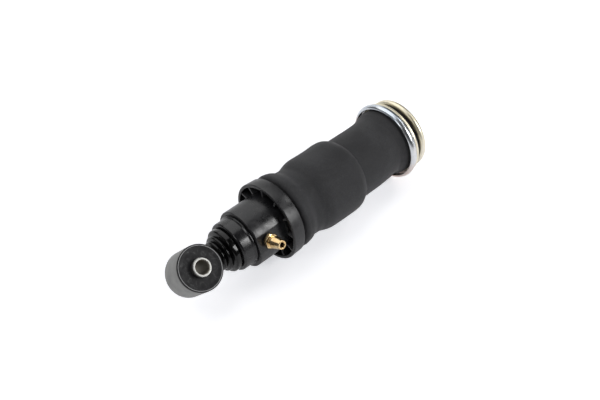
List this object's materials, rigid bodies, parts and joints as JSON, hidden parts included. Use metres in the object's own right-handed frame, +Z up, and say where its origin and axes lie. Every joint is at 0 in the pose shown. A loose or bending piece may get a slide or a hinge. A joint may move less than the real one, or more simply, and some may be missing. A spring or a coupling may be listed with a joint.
{
  "type": "cab air spring damper",
  "caption": "Truck cab damper inside a rolled rubber air sleeve, with a bonded eye bush below, a ribbed air housing with a brass nipple, and a rubber-isolated stud mount on top.",
  "frame": {"origin": "centre of the lower eye bush, on the damper axis", "axes": "+X along the damper from the lower eye to the top mount, +Z up with the damper lying on its side, the eye axis leaning from up towards -Y"},
  "size_m": [0.3576, 0.099, 0.0944],
  "materials": {
    "eye_steel": "satin, tumbled",
    "bush_rubber": "smooth moulded",
    "bush_steel": "turned",
    "gloss_black_paint": "gloss black paint",
    "collar_plastic": "satin moulded",
    "housing_plastic": "satin moulded",
    "nipple_brass": "turned",
    "sleeve_rubber": "matt, cloth reinforced",
    "clear_zinc": "clear zinc plate",
    "yellow_zinc": "pale yellow passivated zinc plate",
    "seal_rubber": "matt",
    "hard_chrome": "ground hard chrome",
    "valve_steel": "machined",
    "ptfe": "filled PTFE",
    "urethane": "cellular polyurethane"
  },
  "bodies": {
    "lower_body": {"eye_ring": "eye_steel", "eye_bush_rubber": "bush_rubber", "damper_end_cap": "gloss_black_paint", "damper_outer_tube": "gloss_black_paint", "inner_cylinder": "valve_steel", "base_valve": "valve_steel", "rod_guide": "valve_steel", "rod_seal": "seal_rubber", "housing_collar": "collar_plastic", "air_housing": "housing_plastic", "ribbed_cup": "housing_plastic", "housing_o_ring": "seal_rubber", "air_nipple": "nipple_brass", "nipple_seal": "seal_rubber", "roll_tube": "housing_plastic", "sleeve_clamp_ring": "clear_zinc", "air_sleeve": "sleeve_rubber"},
    "rod_body": {"piston_rod": "hard_chrome", "piston": "valve_steel", "piston_ring": "ptfe", "compression_shims": "valve_steel", "rebound_shims": "valve_steel", "piston_nut": "valve_steel", "rebound_stop": "urethane", "bump_stop": "urethane", "bump_stop_cup": "valve_steel", "sleeve_top_plate": "yellow_zinc", "sleeve_crimp_ring": "clear_zinc", "rod_top_nut": "clear_zinc", "isolator_ring": "seal_rubber"},
    "bush_core": {"eye_bush_sleeve": "bush_steel"},
    "top_mount": {"top_mount_plate": "yellow_zinc", "top_stud": "yellow_zinc"}
  },
  "joints": [
    {"name": "damper_stroke", "type": "slide", "parent": "lower_body", "child": "rod_body", "axis": [1, 0, 0], "range_m": [-0.02, 0.045], "deforming": ["air_sleeve"]},
    {"name": "eye_bush_twist", "type": "hinge", "parent": "lower_body", "child": "bush_core", "pos_m": [0, 0, 0], "axis": [0, -0.6307, 0.776], "range_deg": [-20, 20], "stiffness_Nm_per_rad": 60, "deforming": ["eye_bush_rubber"]},
    {"name": "top_mount_tilt", "type": "hinge", "parent": "rod_body", "child": "top_mount", "pos_m": [0.301, 0, 0], "axis": [0, -0.6307, 0.776], "range_deg": [-3, 3], "stiffness_Nm_per_rad": 250, "deforming": ["isolator_ring"]}
  ]
}
